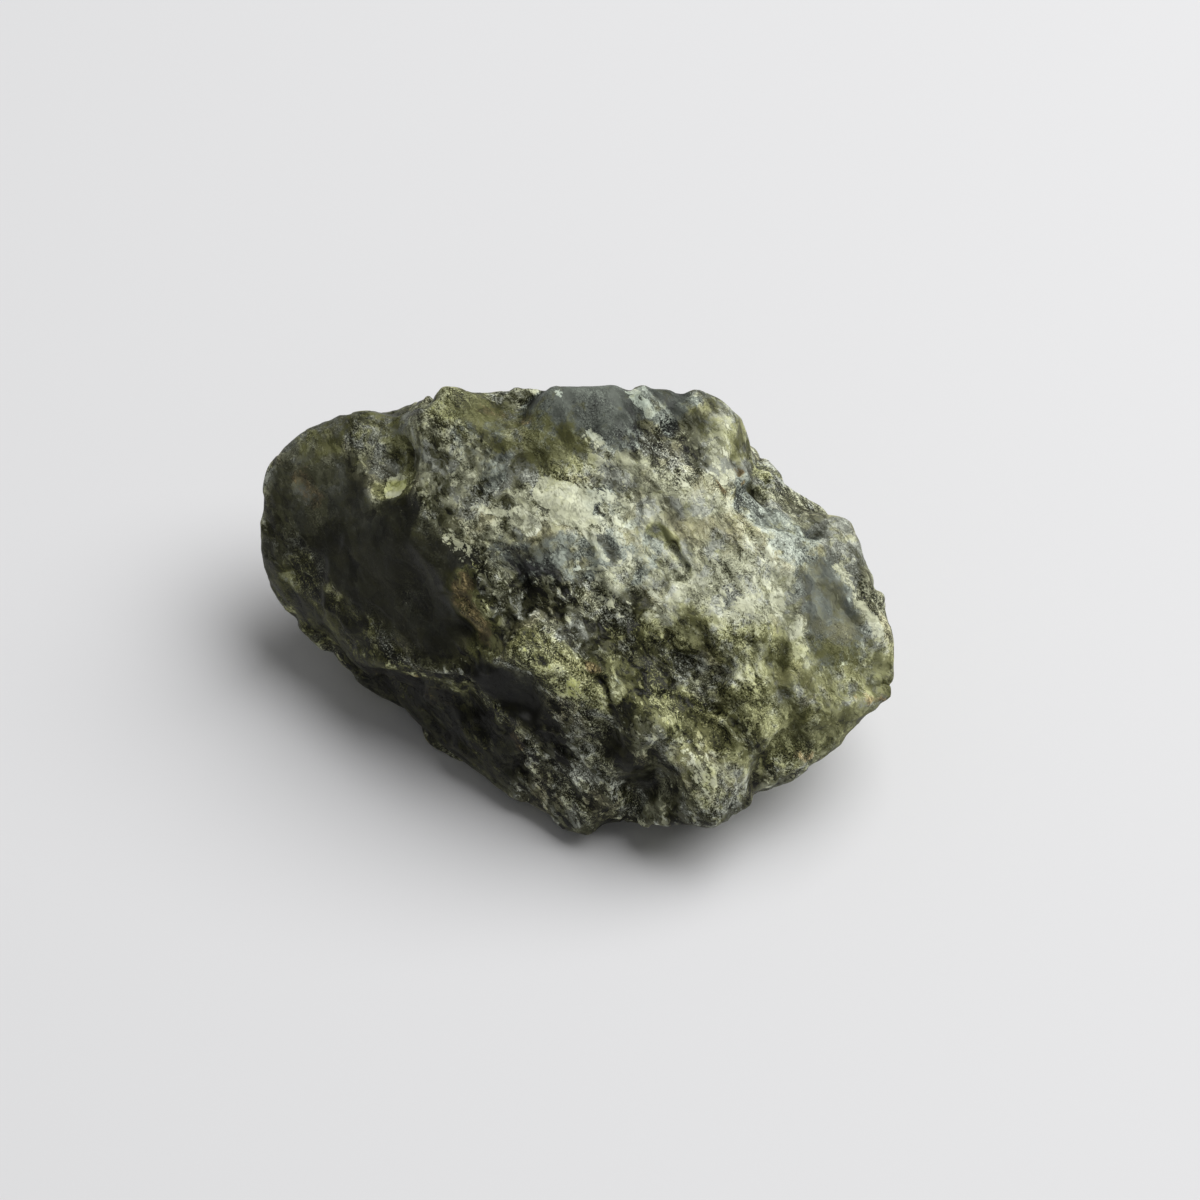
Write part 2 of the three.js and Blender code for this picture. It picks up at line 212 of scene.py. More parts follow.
halves = np.array(stoneForm["proportions"]) / 2
heart = np.array((0.0, 0.0, stoneForm["heartHeight"] * stoneForm["proportions"][2]))


def placed(shares):
    return np.array(shares) * (halves[0], halves[1], 2 * halves[2])


def rampUp(value):
    value = np.clip(value, 0, 1)
    return value * value * (3 - 2 * value)


def scatter(cells, salt):
    # a fixed number between 0 and 1 for each cell
    mixed = np.sin(cells @ np.array((127.1, 311.7, 74.7)) + salt * 53.3) * 43758.5453
    return mixed - np.floor(mixed)


def cellDraws(points, size, salts):
    # the numbers of every cell that the points reach, worked out once: a way to look them up
    low = np.floor(points.min(0) / size) - 1
    high = np.floor(points.max(0) / size) + 2
    spans = [np.arange(a, b) for a, b in zip(low, high)]
    cells = np.stack(np.meshgrid(*spans, indexing="ij"), -1).reshape(-1, 3)
    draws = np.stack([scatter(cells, salt) for salt in salts], 1)
    strides = np.array((len(spans[1]) * len(spans[2]), len(spans[2]), 1))
    return lambda at: draws[((at - low) @ strides).astype(int)]


def tiltedChips(points, size, lean, step, edge, salt):
    # each cell is a small plane of its own, and next cells blend over a narrow band: the rise at
    # each point, how near it is to such a band, and a number of the cell's own from -1 to 1
    look = cellDraws(points, size, range(salt + 1, salt + 9))
    cell = points / size
    base = np.floor(cell)
    total, most, own = (np.zeros(len(points)) for _ in range(3))
    weights = np.full(len(points), 1e-30)
    for shift in itertools.product((-1, 0, 1), repeat=3):
        at = base + shift
        draws = look(at)
        offset = cell - at - draws[:, :3]
        rise = 2 * lean * size * ((draws[:, 3:6] - 0.5) * offset).sum(1) + step * (2 * draws[:, 6] - 1)
        weight = np.exp(-edge * (offset * offset).sum(1))
        total += weight * rise
        own += weight * (2 * draws[:, 7] - 1)
        weights += weight
        most = np.maximum(most, weight)
    return total / weights, 2 - 2 * most / weights, own / weights


def swell(points, size, salts):
    # random heights at the corners of a grid, with a smooth surface between them: one for each salt
    look = cellDraws(points, size, salts)
    cell = points / size
    base = np.floor(cell)
    blend = rampUp(cell - base)
    total = np.zeros((len(points), len(salts)))
    for corner in itertools.product((0, 1), repeat=3):
        share = np.prod(np.where(corner, blend, 1 - blend), axis=1)
        total += share[:, None] * (2 * look(base + corner) - 1)
    return total


def push(points, size, reach, salts):
    # how far each point is pushed about, in mm
    return reach * swell(points, size, salts)


def cloud(points, size, salt, octaves):
    # swells, each half the size of the one before, about from -1 to 1
    return sum(0.6**k * swell(points, size / 2**k, [salt + k])[:, 0] for k in range(octaves))


def fromLine(points, start, end):
    start, along = np.array(start), np.array(end) - start
    share = np.clip((points - start) @ along / max(along @ along, 1e-12), 0, 1)
    return np.linalg.norm(points - start - share[:, None] * along, axis=1)


def strokeRise(points, start, end, reach, rise):
    share = np.minimum(fromLine(points, start, end) / reach, 1)
    return rise * (1 - share * share) ** 2


def ledgeDrop(points, start, end, low, drop, reach):
    along = end - start
    span = np.linalg.norm(along)
    along = along / span
    down = low - start
    down -= along * (down @ along)
    down /= np.linalg.norm(down)
    offset = points - start
    beside = offset @ down
    past = np.abs(offset @ along / span - 0.5) - 0.5
    ends = 1 - rampUp(past / stoneForm["ledgeEnd"] + 0.5)
    near = 1 - rampUp(np.abs(offset @ np.cross(along, down)) / (2 * reach))
    lip = stoneForm["lip"]
    return -drop * rampUp(beside / lip) * (1 - rampUp((beside - lip) / reach)) * ends * near


def bent(points):
    moved = points.copy()
    for bend in stoneForm["bends"]:
        moved += push(points, **bend)
    return moved


def bigRelief(points):
    swells = stoneForm["swells"]
    risen = swells["rise"] * swell(points, swells["size"], [swells["salt"]])[:, 0]
    points = bent(points)
    rough = np.ones(len(points))
    for place, reach in stoneForm["smooth"]:
        away = np.linalg.norm(points - placed(place), axis=1) / reach
        rough *= rampUp(away - stoneForm["calmFrom"])
    left = stoneForm["calmLeft"]
    risen += (left + (1 - left) * rough) * tiltedChips(points, **stoneForm["chips"])[0]
    for start, end, reach, rise in stoneForm["relief"]:
        risen += strokeRise(points, placed(start), placed(end), reach, rise)
    for start, end, low, drop, reach in stoneForm["ledges"]:
        risen += ledgeDrop(points, placed(start), placed(end), placed(low), drop, reach)
    return risen


def hullBreaks():
    # the flat breaks of the hull, each as its plane, with coplanar faces taken once
    alike, apart = stoneForm["sameBreak"]
    hull = bmesh.new()
    for corner in stoneForm["corners"]:
        hull.verts.new(placed(corner))
    bmesh.ops.convex_hull(hull, input=hull.verts)
    normals, reaches = [], []
    for face in hull.faces:
        normal = np.array(face.normal)
        reach = float(normal @ np.array(face.verts[0].co))
        if reach < normal @ heart:
            normal, reach = -normal, -reach
        known = any(a @ normal > alike and abs(b - reach) < apart for a, b in zip(normals, reaches))
        if not known:
            normals.append(normal)
            reaches.append(reach)
    hull.free()
    return np.array(normals), np.array(reaches)


def skinPoints(outer):
    # the skin over the places where the rays towards the outer oval leave the worn hull
    normals, reaches = hullBreaks()
    start = outer * stoneForm["core"]
    along = outer - start
    start += heart
    offset = start @ normals.T - reaches
    slope = along @ normals.T
    wear = stoneForm["edgeWear"]

    def aboveHull(distance):
        heights = offset + distance[:, None] * slope
        most = heights.max(1)
        total = np.exp((heights - most[:, None]) / wear).sum(1)
        return most + wear * (np.log(total) - 1) + stoneForm["skinInset"]

    # where each ray leaves is closed in on from both sides, as if the height rose evenly between
    near, far = np.zeros(len(outer)), np.full(len(outer), 2.0)
    below, above = aboveHull(near), aboveHull(far)
    least, rounds = 0.04, 12
    for _ in range(rounds):
        middle = near + (far - near) * np.clip(below / (below - above), least, 1 - least)
        height = aboveHull(middle)
        inside = height < 0
        near, below = np.where(inside, middle, near), np.where(inside, height, below)
        far, above = np.where(inside, far, middle), np.where(inside, above, height)
    points = start + along * near[:, None]
    heights = points @ normals.T - reaches
    weights = np.exp((heights - heights.max(1, keepdims=True)) / stoneForm["turning"])
    outward = weights @ normals
    outward /= np.linalg.norm(outward, axis=1, keepdims=True)
    return points + outward * bigRelief(points)[:, None]


def geodesicBall(steps):
    # points and triangles of a ball whose 20 faces are each cut into steps * steps triangles
    seed = bmesh.new()
    bmesh.ops.create_icosphere(seed, subdivisions=1, radius=1.0)
    faces = [np.array([corner.co for corner in face.verts]) for face in seed.faces]
    seed.free()
    rows = [(i, j) for i in range(steps + 1) for j in range(steps + 1 - i)]
    index = {pair: k for k, pair in enumerate(rows)}
    grid = np.array(rows, float) / steps
    triangles = []
    for i, j in rows:
        if i + j < steps:
            triangles.append((index[i, j], index[i + 1, j], index[i, j + 1]))
        if i + j < steps - 1:
            triangles.append((index[i + 1, j], index[i + 1, j + 1], index[i, j + 1]))
    triangles = np.array(triangles)
    points, sides = [], []
    for k, (a, b, c) in enumerate(faces):
        points.append(a + grid[:, :1] * (b - a) + grid[:, 1:] * (c - a))
        sides.append(triangles + k * len(rows))
    points = np.concatenate(points)
    points /= np.linalg.norm(points, axis=1, keepdims=True)
    _, first, merged = np.unique(np.round(points, 6), axis=0, return_index=True, return_inverse=True)
    return points[first], merged.reshape(-1)[np.concatenate(sides)]


stoneMesh = {
    "steps": 99,  # 20 * steps * steps triangles
    "lift": (0.08, -0.12, 0.24),  # how far the mesh is crowded towards the top and the near side
}


def bigForm():
    ball, sides = geodesicBall(stoneMesh["steps"])
    ball = ball + stoneMesh["lift"]
    ball /= np.linalg.norm(ball, axis=1, keepdims=True)
    points = skinPoints(ball * halves)
    middle = (points.min(0) + points.max(0)) / 2
    points -= (middle[0], middle[1], 0)
    return points, sides


points, sides = bigForm()
print("big form made:", len(points), "points,", len(sides), "triangles")


# Places below are in millimetres on the finished stone

# How light the skin is and how much it is mottled, laid over one another in this order:
# from, to, reach, tone, mottle
tones = [
    # the far side: two dark breaks, and lighter ground round them
    ((4.0, 9.0, 9.0), (12.0, 8.0, 6.0), 6.0, 0.44, 0.5),
    ((-12.0, 7.0, 8.0), (-4.0, 9.5, 11.0), 5.5, 0.3, 0.36),
    ((-6.5, 10.0, 7.0), (-2.0, 10.6, 5.0), 3.4, 0.19, 0.1),
    ((9.0, 9.4, 5.0), (12.6, 7.6, 4.0), 2.6, 0.24, 0.14),
    # the near side under the brow
    ((-9.0, -6.0, 4.0), (4.0, -8.6, 4.0), 6.0, 0.25, 0.6),
    # left: the dark hollow break, and the lobe above it
    ((-13.2, -1.7, 9.7), (-6.6, -4.8, 10.0), 4.8, 0.165, 0.04),
    ((-9.5, -1.5, 11.5), (-5.2, -5.4, 11.0), 2.6, 0.165, 0.05),
    ((-15.6, 0.2, 10.8), (-12.0, 0.6, 11.8), 3.0, 0.23, 0.08),
    ((-15.6, 1.6, 11.6), (-12.2, 3.0, 13.6), 3.0, 0.35, 0.15),
    ((-12.0, 2.6, 13.3), (-10.4, 0.6, 12.5), 1.7, 0.42, 0.3),
    # the dark flank below it, with two small light spots
    ((-15.6, -2.0, 7.4), (-11.0, -4.8, 5.6), 2.8, 0.2, 0.2),
    ((-14.9, -3.1, 6.9), (-14.6, -3.3, 6.7), 0.6, 0.42, 0.2),
    ((-12.5, -3.8, 8.2), (-12.0, -3.9, 8.1), 0.5, 0.45, 0.3),
    # the crown
    ((-8.0, 2.5, 15.5), (-3.0, -1.0, 14.0), 3.2, 0.45, 0.4),
    ((-6.3, 3.5, 15.8), (-0.9, 2.2, 15.5), 2.0, 0.38, 0.15),
    ((1.5, -0.1, 14.1), (8.9, 0.4, 12.9), 4.0, 0.74, 0.34),
    ((6.4, 1.5, 14.0), (10.9, -0.8, 11.6), 3.4, 0.71, 0.38),
    ((3.3, -2.5, 12.5), (7.5, -2.1, 11.9), 2.6, 0.73, 0.42),
    ((3.4, 2.0, 14.8), (5.4, 1.0, 14.0), 1.8, 0.82, 0.34),
    ((1.0, 2.0, 15.2), (6.0, 1.4, 14.2), 1.8, 0.7, 0.34),
    ((4.0, 5.0, 16.0), (5.6, 4.2, 15.2), 1.6, 0.4, 0.6),
    # lumps on its far edge, with a painted highlight along the sharp edge between them
    ((-2.6, 4.1, 16.9), (0.5, 4.9, 17.0), 2.2, 0.34, 0.1),
    ((2.8, 6.6, 16.7), (3.8, 6.4, 16.4), 1.3, 0.28, 0.12),
    # painted highlight on the lit edge of the lump
    ((1.3, 6.6, 16.8), (3.0, 5.5, 16.2), 0.7, 0.52, 0.2),
    # the far right lobe
    ((5.4, 7.2, 16.2), (7.8, 6.2, 13.8), 2.4, 0.46, 0.26),
    ((6.3, 6.4, 15.9), (6.9, 4.6, 14.8), 1.3, 0.61, 0.14),
    ((8.2, 6.8, 12.4), (10.4, 4.6, 12.6), 1.8, 0.52, 0.4),
    # solid pale patches
    ((-1.2, 0.2, 14.6), (0.4, 0.0, 14.4), 1.9, 0.5, 0.4),
    ((-2.6, -1.1, 14.0), (-2.1, -1.3, 13.9), 0.9, 0.8, 0.3),
    ((-6.9, 1.6, 15.2), (-6.4, 0.6, 14.8), 0.7, 0.5, 0.4),
    ((-5.4, -1.4, 14.0), (-4.6, -3.0, 13.2), 0.7, 0.5, 0.5),
    # small flat break in the middle, with a light edge
    ((-2.5, -3.1, 13.1), (0.8, -2.3, 13.0), 1.6, 0.44, 0.36),
    ((1.2, -1.2, 13.6), (3.2, -2.8, 12.7), 0.35, 0.66, 0.2),
    # the pitted ground under it
    ((-3.0, -4.6, 12.4), (2.6, -4.4, 11.9), 2.0, 0.24, 0.54),
    ((1.0, -6.2, 11.0), (4.6, -4.6, 11.4), 1.8, 0.3, 0.5),
    # the scoop and its upper edge
    ((4.4, -5.2, 11.0), (8.4, -5.4, 10.0), 2.4, 0.22, 0.4),
    ((7.2, -3.4, 11.2), (10.1, -3.5, 10.7), 1.0, 0.43, 0.4),
    # ridge under the scoop, and the nose
    ((-0.6, -7.2, 11.0), (4.0, -8.4, 8.8), 1.4, 0.38, 0.5),
    ((7.1, -8.6, 8.2), (11.0, -9.0, 5.6), 2.3, 0.44, 0.42),
    ((8.8, -8.9, 7.3), (10.0, -9.2, 6.3), 1.1, 0.46, 0.3),
    ((6.9, -8.7, 4.6), (7.4, -8.6, 3.0), 1.9, 0.4, 0.3),
    ((3.5, -9.6, 6.6), (4.6, -9.7, 5.8), 1.3, 0.4, 0.4),
    ((4.9, -9.3, 7.3), (6.7, -9.3, 4.2), 1.1, 0.16, 0.16),
    # dark smooth breaks of the near side, and the lip between them
    ((-2.2, -7.8, 8.3), (0.2, -8.1, 7.6), 1.6, 0.1, 0.06),
    ((-9.0, -6.6, 3.5), (-2.6, -8.4, 3.5), 3.4, 0.125, 0.24),
    ((-10.8, -5.0, 5.4), (-4.6, -7.2, 6.4), 0.6, 0.36, 0.5),
    # right end: the oval break, what is round it, and the granular swell; the swell is its own pale crust
    # with painted light added, for the light it gets from the right and off the floor
    ((11.5, -4.5, 9.6), (16.1, -1.7, 8.0), 3.0, 0.45, 0.24),
    # painted light on the swell's low side, over its pale crust
    ((13.0, -5.4, 7.6), (16.6, -2.6, 6.6), 2.2, 0.5, 0.26),
    ((11.0, 3.6, 12.6), (15.2, 3.8, 10.8), 2.0, 0.51, 0.24),
    ((13.3, 1.0, 11.4), (14.8, -0.8, 9.9), 2.3, 0.425, 0.09),
    ((11.5, 0.3, 11.8), (11.6, -1.0, 11.3), 0.9, 0.68, 0.2),
    ((12.9, -2.0, 10.3), (13.3, -2.6, 9.8), 0.8, 0.68, 0.2),
    ((13.7, 2.4, 11.8), (15.2, 1.3, 10.8), 0.6, 0.58, 0.3),
    ((15.2, 1.3, 10.8), (16.6, 0.4, 9.6), 0.6, 0.58, 0.3),
    ((16.6, 0.4, 9.6), (16.9, -1.8, 7.8), 0.9, 0.55, 0.3),
    # under the scoop's upper edge, and the warm edge of the dark break
    ((8.5, -4.6, 9.0), (10.4, -4.8, 8.2), 1.8, 0.44, 0.4),
    ((-4.4, -4.6, 12.2), (-3.0, -6.4, 10.2), 1.0, 0.34, 0.24),
    # the slit, the crack of the far right lobe and a dark spot beside it
    ((4.5, 0.4, 13.5), (5.4, -0.2, 13.0), 0.6, 0.42, 0.1),
    ((5.3, -0.1, 13.0), (6.0, -0.6, 12.7), 0.42, 0.13, 0.1),
    ((7.1, 5.5, 14.7), (7.6, 4.8, 14.3), 0.3, 0.3, 0.1),
    ((7.1, 3.5, 14.5), (7.4, 3.3, 14.4), 0.5, 0.3, 0.3),
    # small dark windows in the crust
    ((2.0, -1.1, 13.6), (2.6, -1.5, 13.4), 0.75, 0.3, 0.2),
    ((4.2, -2.9, 12.1), (4.7, -2.9, 12.0), 0.85, 0.27, 0.16),
]

# from, to, reach, strength
zones = {
    # pale crust: whole patches where strong, scattered islands where weak
    "pale": [
        # solid patches on the crown
        ((-1.6, 0.4, 14.7), (0.2, 0.3, 14.5), 1.0, 1.5),
        ((-0.6, -0.3, 14.3), (0.5, -0.3, 14.2), 0.8, 1.2),
        ((-2.7, -1.1, 14.0), (-2.0, -1.4, 13.9), 0.75, 1.2),
        ((0.0, 3.3, 16.2), (0.3, 3.2, 16.1), 0.6, 0.8),
        ((0.3, 2.4, 15.6), (0.5, 2.4, 15.6), 0.45, 1.1),
        ((-2.4, 5.0, 17.3), (-2.2, 4.9, 17.3), 0.35, 0.7),
        ((-10.2, 0.6, 12.6), (-9.8, -0.1, 12.2), 0.75, 1.2),
        ((-6.2, -2.4, 13.5), (-5.6, -3.2, 13.1), 0.8, 0.5),
        # streaks on its right, and the light edges of the small flat break
        ((0.6, 0.9, 14.5), (3.2, 1.4, 14.5), 0.5, 0.6),
        ((1.0, -0.2, 14.1), (4.0, 0.4, 13.9), 0.4, 0.6),
        ((3.6, 1.0, 14.2), (6.2, 1.2, 14.0), 0.6, 0.6),
        ((0.8, -0.9, 13.9), (2.2, -1.8, 13.2), 0.32, 1.0),
        ((-4.3, -1.2, 13.9), (0.3, -0.7, 14.0), 0.28, 0.7),
        ((0.8, -2.6, 12.7), (3.3, -1.9, 12.8), 0.3, 0.8),
        # flakes of the crown, thicker towards the right
        ((-6.7, 0.6, 14.8), (-4.0, -3.6, 12.8), 1.4, 0.3),
        ((-8.0, 2.0, 15.4), (-4.0, 0.0, 14.6), 2.6, 0.2),
        ((1.5, -0.1, 14.1), (8.9, 0.4, 12.9), 3.2, 0.34),
        ((6.4, 1.5, 14.0), (10.9, -0.8, 11.6), 3.2, 0.32),
        ((3.3, -2.5, 12.5), (7.5, -2.1, 11.9), 2.2, 0.4),
        ((1.2, 2.0, 15.2), (6.0, 1.2, 14.2), 1.4, 0.42),
        # the far edge and the far right lobe
        ((1.1, 6.5, 16.8), (2.4, 5.6, 16.5), 0.55, 0.8),
        ((6.3, 6.0, 15.8), (6.9, 4.6, 14.8), 1.2, 0.7),
        # ridge, nose and right end
        ((-0.6, -7.2, 11.0), (4.0, -8.4, 8.8), 1.4, 0.2),
        ((7.1, -8.6, 8.2), (11.0, -9.0, 5.6), 2.0, 0.26),
        ((8.8, -8.9, 7.4), (10.0, -9.2, 6.3), 1.0, 0.5),
        ((11.1, -0.2, 11.6), (11.4, -1.0, 11.2), 0.55, 1.1),
        ((12.5, -1.4, 10.7), (13.0, -2.3, 10.1), 0.55, 1.1),
        ((13.7, 2.4, 11.8), (15.2, 1.3, 10.8), 0.55, 0.75),
        ((15.2, 1.3, 10.8), (16.6, 0.4, 9.6), 0.55, 0.7),
        ((11.0, 3.4, 12.6), (15.6, 2.9, 10.6), 1.6, 0.2),
        ((11.5, -4.5, 9.6), (16.1, -1.7, 8.0), 2.6, 0.2),
    ],
    # no crust at all
    "bare": [
        ((4.7, 0.3, 13.6), (6.6, -1.0, 12.4), 0.5, 1.0),
        ((2.1, -1.2, 13.6), (2.3, -1.4, 13.5), 0.6, 1.0),
        ((4.4, -2.8, 12.1), (4.5, -2.9, 12.0), 0.7, 1.0),
        ((7.1, 5.5, 14.7), (7.6, 4.8, 14.3), 0.35, 1.0),
        ((-2.5, -3.1, 13.1), (0.4, -2.0, 13.3), 1.0, 1.0),
        ((14.0, 0.6, 11.0), (14.6, -0.6, 10.2), 1.4, 0.8),
    ],
    "smooth": [
        # breaks of the far side
        ((-6.5, 10.0, 7.0), (-2.0, 10.6, 5.0), 3.2, 0.8),
        ((9.0, 9.4, 5.0), (12.6, 7.6, 4.0), 2.4, 0.7),
        # the dark hollow break on the left, and the lobe above it
        ((-13.2, -1.1, 10.2), (-6.6, -4.6, 10.2), 4.4, 1.0),
        ((-9.5, -1.5, 11.5), (-5.0, -5.2, 11.0), 2.6, 1.0),
        ((-15.6, 1.0, 11.1), (-12.2, 2.8, 13.5), 2.6, 0.8),
        # lumps on the far edge of the crown
        ((-2.6, 4.1, 16.9), (0.5, 4.9, 17.0), 2.0, 1.0),
        ((2.4, 6.2, 16.7), (3.2, 6.5, 16.5), 1.4, 1.0),
        # far right lobe
        ((5.4, 7.2, 16.2), (7.4, 5.4, 14.2), 1.8, 0.7),
        ((8.4, 6.6, 12.6), (11.8, 4.2, 12.3), 1.9, 0.8),
        # solid pale patch and small flat break in the middle
        ((-1.0, 0.1, 14.7), (0.3, 0.0, 14.4), 1.2, 0.8),
        ((-2.5, -3.1, 13.1), (1.0, -2.2, 13.0), 1.5, 0.75),
        ((2.2, -1.3, 13.6), (2.2, -1.4, 13.5), 0.5, 1.0),
        ((4.4, -2.9, 12.0), (4.5, -2.8, 12.1), 0.6, 1.0),
        # oval break at the right end
        ((13.3, 1.0, 11.4), (14.8, -0.8, 9.9), 1.9, 0.95),
        # the near side under the ledge
        ((-9.0, -6.6, 3.5), (-2.6, -8.4, 3.5), 3.4, 0.5),
        ((-2.2, -7.8, 8.3), (0.2, -8.1, 7.6), 1.6, 0.9),
        ((6.9, -8.7, 4.6), (7.4, -8.6, 3.2), 1.7, 0.85),
        ((4.9, -9.3, 7.3), (6.7, -9.3, 4.2), 1.2, 0.7),
        # outlines of the right end
        ((17.2, -0.2, 7.6), (16.4, -3.4, 5.6), 1.8, 0.7),
        ((-12.5, -3.5, 6.5), (-9.0, -5.6, 6.0), 2.4, 0.6),
    ],
    "olive": [
        ((-10.1, 0.2, 12.3), (-9.8, 0.1, 12.3), 0.95, 1.3),
        ((-8.4, 3.7, 16.6), (-6.6, 4.1, 16.2), 1.8, 1.4),
        ((-6.3, 3.5, 15.8), (-0.9, 2.2, 15.5), 2.0, 0.7),
        ((-10.7, 3.3, 13.9), (-9.3, -0.7, 12.7), 0.9, 0.8),
        ((-4.4, -4.8, 12.1), (-2.6, -6.6, 9.8), 1.4, 1.4),
        ((-14.0, -3.4, 6.0), (-3.4, -8.0, 3.8), 3.2, 0.8),
        ((5.5, 7.2, 16.2), (8.0, 6.8, 12.6), 2.0, 0.5),
        ((4.4, 0.4, 13.5), (5.6, -0.4, 12.9), 0.7, 1.3),
        ((7.2, -3.4, 11.2), (10.1, -3.7, 10.7), 1.4, 0.7),
        ((4.4, -5.4, 10.8), (8.4, -5.6, 9.8), 2.2, 0.45),
        ((10.6, -3.4, 10.4), (17.0, -1.0, 7.6), 2.2, 0.8),
        ((-8.0, -6.4, 5.6), (-1.6, -8.2, 6.4), 1.6, 0.7),
        ((-15.3, 2.4, 12.1), (-11.9, 3.4, 13.6), 1.6, 0.45),
        ((-0.6, -7.3, 10.8), (3.8, -7.6, 9.6), 1.6, 1.2),
        ((-6.0, -7.1, 4.6), (-3.0, -7.9, 5.0), 1.5, 1.0),
        ((-13.0, 6.0, 6.0), (-6.0, 9.0, 12.0), 3.4, 0.6),
        ((12.0, 5.6, 8.0), (16.0, 3.0, 4.0), 3.0, 0.5),
        ((8.4, -8.9, 7.6), (11.0, -9.4, 5.0), 1.6, 0.3),
        ((11.0, -6.0, 7.6), (16.0, -4.2, 6.0), 3.0, 1.0),
        ((4.4, -6.6, 9.9), (10.0, -7.2, 8.2), 1.8, 1.1),
        ((5.2, -3.8, 11.2), (7.6, -4.0, 10.6), 1.2, 0.9),
    ],
    "rust": [
        ((7.0, 3.6, 14.5), (7.5, 3.2, 14.4), 0.5, 1.0),
        ((7.2, 5.5, 14.7), (7.8, 4.4, 14.0), 0.3, 1.0),
        ((-4.5, -4.8, 12.1), (-3.0, -6.4, 10.2), 0.9, 0.75),
        ((16.9, -2.2, 7.4), (17.2, -2.0, 7.2), 0.7, 0.65),
        ((14.2, -5.6, 5.6), (14.6, -5.4, 5.3), 0.6, 0.65),
        ((3.0, -6.8, 10.5), (3.3, -6.9, 10.4), 0.5, 0.9),
        ((-0.8, -8.6, 4.9), (-0.3, -8.6, 4.6), 0.7, 0.9),
        ((-9.6, -5.6, 4.8), (-5.4, -7.0, 5.0), 1.2, 0.5),
        ((6.0, -3.9, 11.0), (6.4, -4.1, 10.9), 0.6, 0.8),
        ((-15.6, 0.9, 11.0), (-14.4, 0.0, 10.7), 1.1, 0.6),
        ((6.1, -1.2, 12.7), (6.5, -1.5, 12.3), 0.35, 0.9),
        ((-6.2, 4.2, 15.9), (-3.6, 3.4, 16.0), 0.7, 0.5),
    ],
    "blue": [
        ((-2.6, 4.1, 16.9), (0.5, 4.9, 17.0), 2.8, 0.9),
        ((2.4, 6.2, 16.7), (3.2, 6.5, 16.5), 2.0, 0.8),
        ((-2.5, -3.1, 13.1), (1.0, -2.2, 13.0), 1.8, 0.55),
        ((13.3, 1.0, 11.4), (14.8, -0.8, 9.9), 2.3, 0.5),
        ((-6.8, 2.6, 15.8), (-5.0, 1.2, 15.0), 1.8, 0.5),
        ((1.5, 0.6, 14.4), (4.5, -1.4, 13.0), 1.6, 0.5),
        ((3.6, -2.4, 12.6), (4.2, -2.2, 12.6), 0.8, 0.9),
        ((-2.2, -7.8, 8.3), (0.2, -8.1, 7.6), 1.6, 0.2),
        ((8.8, 4.2, 13.6), (11.4, 2.4, 12.4), 1.8, 0.8),
    ],
    # much pitted places
    "pitted": [
        ((-3.0, -4.6, 12.4), (2.6, -4.4, 11.9), 2.2, 0.9),
        ((1.0, -6.2, 11.0), (4.6, -4.6, 11.4), 2.0, 0.7),
        ((4.4, -5.2, 11.0), (11.2, -5.4, 9.0), 2.2, 0.8),
        ((-2.0, -8.6, 4.6), (4.6, -9.0, 3.4), 2.6, 0.8),
        ((3.6, -8.8, 6.6), (8.6, -8.6, 3.0), 2.6, 0.6),
    ],
}

# Cuts, lumps and sharp edges too fine for the big form: from, to, reach, rise
marks = [
    # the slit in the middle of the crown
    ((4.5, 0.4, 13.5), (5.4, -0.2, 13.0), 0.4, -0.25),
    ((5.3, -0.1, 13.1), (6.3, -0.8, 12.5), 0.3, -0.5),
    # crack and dents on the far right lobe
    ((7.1, 5.5, 14.7), (7.6, 4.8, 14.2), 0.3, -0.35),
    ((7.0, 3.7, 14.5), (7.6, 3.2, 14.4), 0.6, -0.3),
    # small round windows in the crust
    ((2.1, -1.2, 13.6), (2.3, -1.5, 13.5), 0.7, -0.16),
    ((4.2, -2.9, 12.0), (4.8, -2.8, 12.1), 0.8, -0.2),
    # grooves that run down the crown
    ((-9.9, 3.2, 14.2), (-9.4, 0.2, 13.0), 0.5, -0.2),
    ((1.2, 4.6, 16.8), (2.5, 3.2, 15.9), 0.45, -0.25),
    ((8.8, 2.2, 13.6), (10.8, 0.2, 12.2), 0.4, -0.2),
    ((10.2, -2.6, 11.2), (11.6, -4.6, 9.8), 0.5, -0.25),
    ((3.0, -3.4, 12.0), (5.6, -4.6, 11.3), 0.5, -0.25),
    ((-1.6, -4.2, 12.6), (0.4, -5.4, 11.9), 0.5, -0.3),
    ((0.6, -3.6, 12.7), (2.2, -4.8, 12.0), 0.4, -0.3),
    ((9.4, -6.6, 8.9), (10.8, -7.6, 7.4), 0.6, -0.3),
    # the notch of the right outline filled, and the point beside it worn down
    ((17.1, -0.8, 7.2), (17.4, -1.2, 6.9), 0.9, 0.3),
    ((17.6, -1.9, 7.0), (17.6, -2.1, 6.7), 0.8, -0.25),
    # ribs between them
    ((-0.4, -7.6, 10.9), (1.6, -8.4, 9.6), 0.6, 0.25),
    ((5.0, -6.6, 10.1), (7.6, -7.0, 9.5), 0.5, 0.2),
    ((6.4, -5.4, 10.6), (8.4, -5.6, 10.2), 0.4, 0.18),
    ((-2.8, -4.0, 12.9), (-1.6, -5.4, 12.0), 0.35, 0.2),
]

